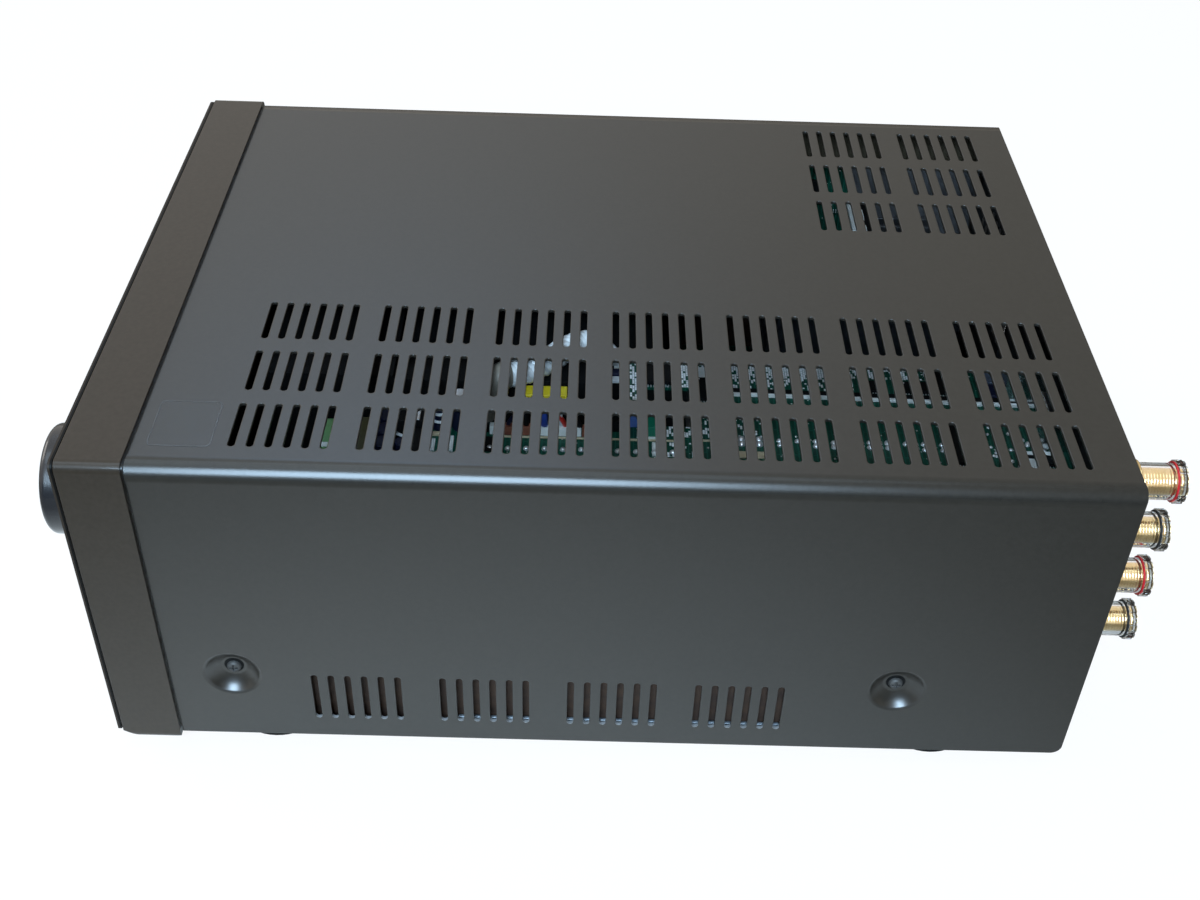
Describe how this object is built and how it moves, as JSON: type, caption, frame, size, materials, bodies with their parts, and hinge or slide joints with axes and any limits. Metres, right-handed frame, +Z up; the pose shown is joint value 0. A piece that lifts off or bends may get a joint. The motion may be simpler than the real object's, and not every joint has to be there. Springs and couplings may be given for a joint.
{
  "type": "network cd receiver",
  "caption": "Half-width network CD receiver with a vented steel cover, moulded front, sliding disc tray, volume knob, press keys and rear binding posts.",
  "frame": {"origin": "on the floor under the middle of the whole unit", "axes": "+X right-hand side seen from the front, +Y towards the rear, +Z up; the front faces -Y"},
  "size_m": [0.215, 0.334, 0.119],
  "materials": {
    "cover_paint": "fine matt dark grey powder coat",
    "panel_paint": "matt black paint",
    "zinc_steel": "zinc plated",
    "black_screw": "black zinc",
    "bezel_plastic": "fine matt dark grey moulding",
    "fascia_metal": "dark anodised",
    "black_plastic": "satin",
    "foot_pad": "matt",
    "gloss_black": "high gloss",
    "smoked_lens": "smoked clear",
    "display_glass": "dark glass",
    "circuit_board": "green solder mask",
    "tinned_shell": "tinned",
    "tray_plastic": "fine texture",
    "door_plastic": "satin",
    "white_plastic": "natural acetal",
    "rubber": "matt",
    "polished_rod": "ground",
    "pickup_body": "filled moulding",
    "capacitor_sleeve": "shrink sleeve",
    "heatsink_metal": "extruded",
    "core_steel": "varnished laminations",
    "yellow_tape": "polyester tape",
    "flat_cable": "flat cable",
    "gold_plate": "gold plated",
    "red_clear": "clear with a red ring",
    "grey_clear": "clear with a grey ring",
    "key_plastic": "satin gloss"
  },
  "bodies": {
    "case": {"chassis_pan": "zinc_steel", "rear_panel": "panel_paint", "top_cover": "cover_paint", "cover_screws": "black_screw", "front_bezel": "bezel_plastic", "fascia_plate": "fascia_metal", "bezel_screws": "zinc_steel", "feet": "black_plastic", "foot_pads": "foot_pad", "foot_screws": "zinc_steel", "volume_encoder": "zinc_steel", "display_lens": "smoked_lens", "display_module": "display_glass", "front_board": "circuit_board", "phones_jack": "black_plastic", "usb_socket": "tinned_shell", "loader_frame": "black_plastic", "clamp_bridge": "black_plastic", "traverse_plate": "zinc_steel", "traverse_dampers": "rubber", "spindle_motor": "zinc_steel", "guide_rods": "polished_rod", "loading_motor": "zinc_steel", "drive_belt": "rubber", "amp_board": "circuit_board", "filter_capacitors": "capacitor_sleeve", "heatsink": "heatsink_metal", "transformer_core": "core_steel", "transformer_coil": "yellow_tape", "deck_shelf": "zinc_steel", "power_board": "circuit_board", "network_board": "circuit_board", "ribbon_cable": "flat_cable", "terminal_block": "black_plastic", "speaker_posts": "gold_plate", "line_jacks": "black_plastic", "jack_sleeves": "tinned_shell", "lan_socket": "tinned_shell", "antenna_socket": "tinned_shell", "mains_inlet": "black_plastic"},
    "volume": {"volume_knob": "gloss_black", "encoder_shaft": "zinc_steel"},
    "tray": {"disc_tray": "tray_plastic", "tray_door": "door_plastic"},
    "drive": {"drive_gear": "white_plastic"},
    "loading_pulley": {"motor_pulley": "white_plastic"},
    "spindle": {"turntable": "black_plastic"},
    "clamper": {"disc_clamper": "white_plastic"},
    "sled": {"pickup_sled": "pickup_body"},
    "power_key": {"power_button": "key_plastic"},
    "eject_key": {"eject_button": "key_plastic"},
    "stop_key": {"stop_button": "key_plastic"},
    "previous_key": {"previous_button": "key_plastic"},
    "play_key": {"play_button": "key_plastic"},
    "next_key": {"next_button": "key_plastic"},
    "source_key": {"source_button": "key_plastic"},
    "cap_1": {"speaker_cap_1": "red_clear"},
    "cap_2": {"speaker_cap_2": "grey_clear"},
    "cap_3": {"speaker_cap_3": "red_clear"},
    "cap_4": {"speaker_cap_4": "grey_clear"}
  },
  "joints": [
    {"name": "volume_turn", "type": "hinge", "parent": "case", "child": "volume", "pos_m": [0.0725, -0.153, 0.0835], "axis": [0, 1, 0], "continuous": true},
    {"name": "tray_slide", "type": "slide", "parent": "case", "child": "tray", "axis": [0, -1, 0], "range_m": [0, 0.13]},
    {"name": "drive_turn", "type": "hinge", "parent": "case", "child": "drive", "pos_m": [0.018, -0.119, 0.097], "axis": [0, 0, -1], "range_deg": [0, 680]},
    {"name": "pulley_turn", "type": "hinge", "parent": "case", "child": "loading_pulley", "pos_m": [-0.022, -0.119, 0.097], "axis": [0, 0, -1], "range_deg": [0, 1830]},
    {"name": "spindle_turn", "type": "hinge", "parent": "case", "child": "spindle", "pos_m": [-0.02, -0.087, 0.097], "axis": [0, 0, -1], "continuous": true},
    {"name": "clamper_turn", "type": "hinge", "parent": "case", "child": "clamper", "pos_m": [-0.02, -0.087, 0.097], "axis": [0, 0, -1], "continuous": true},
    {"name": "sled_slide", "type": "slide", "parent": "case", "child": "sled", "axis": [0, 1, 0], "range_m": [0, 0.034]},
    {"name": "power_press", "type": "slide", "parent": "case", "child": "power_key", "axis": [0, 1, 0], "range_m": [0, 0.0007], "stiffness_N_per_m": 1500},
    {"name": "eject_press", "type": "slide", "parent": "case", "child": "eject_key", "axis": [0, 1, 0], "range_m": [0, 0.0007], "stiffness_N_per_m": 1500},
    {"name": "stop_press", "type": "slide", "parent": "case", "child": "stop_key", "axis": [0, 1, 0], "range_m": [0, 0.0007], "stiffness_N_per_m": 1500},
    {"name": "previous_press", "type": "slide", "parent": "case", "child": "previous_key", "axis": [0, 1, 0], "range_m": [0, 0.0007], "stiffness_N_per_m": 1500},
    {"name": "play_press", "type": "slide", "parent": "case", "child": "play_key", "axis": [0, 1, 0], "range_m": [0, 0.0007], "stiffness_N_per_m": 1500},
    {"name": "next_press", "type": "slide", "parent": "case", "child": "next_key", "axis": [0, 1, 0], "range_m": [0, 0.0007], "stiffness_N_per_m": 1500},
    {"name": "source_press", "type": "slide", "parent": "case", "child": "source_key", "axis": [0, 1, 0], "range_m": [0, 0.0007], "stiffness_N_per_m": 1500},
    {"name": "cap_1_turn", "type": "hinge", "parent": "case", "child": "cap_1", "pos_m": [0.08, 0.167, 0.10055], "axis": [0, 1, 0], "range_deg": [0, 1080]},
    {"name": "cap_2_turn", "type": "hinge", "parent": "case", "child": "cap_2", "pos_m": [0.08, 0.167, 0.0813], "axis": [0, 1, 0], "range_deg": [0, 1080]},
    {"name": "cap_3_turn", "type": "hinge", "parent": "case", "child": "cap_3", "pos_m": [0.08, 0.167, 0.06205], "axis": [0, 1, 0], "range_deg": [0, 1080]},
    {"name": "cap_4_turn", "type": "hinge", "parent": "case", "child": "cap_4", "pos_m": [0.08, 0.167, 0.0428], "axis": [0, 1, 0], "range_deg": [0, 1080]}
  ],
  "couplings": [
    {"joint": "drive_turn", "follows": "tray_slide", "rad_per_m": 90.909},
    {"joint": "pulley_turn", "follows": "tray_slide", "rad_per_m": 245.45},
    {"joint": "clamper_turn", "follows": "spindle_turn", "ratio": 1}
  ]
}
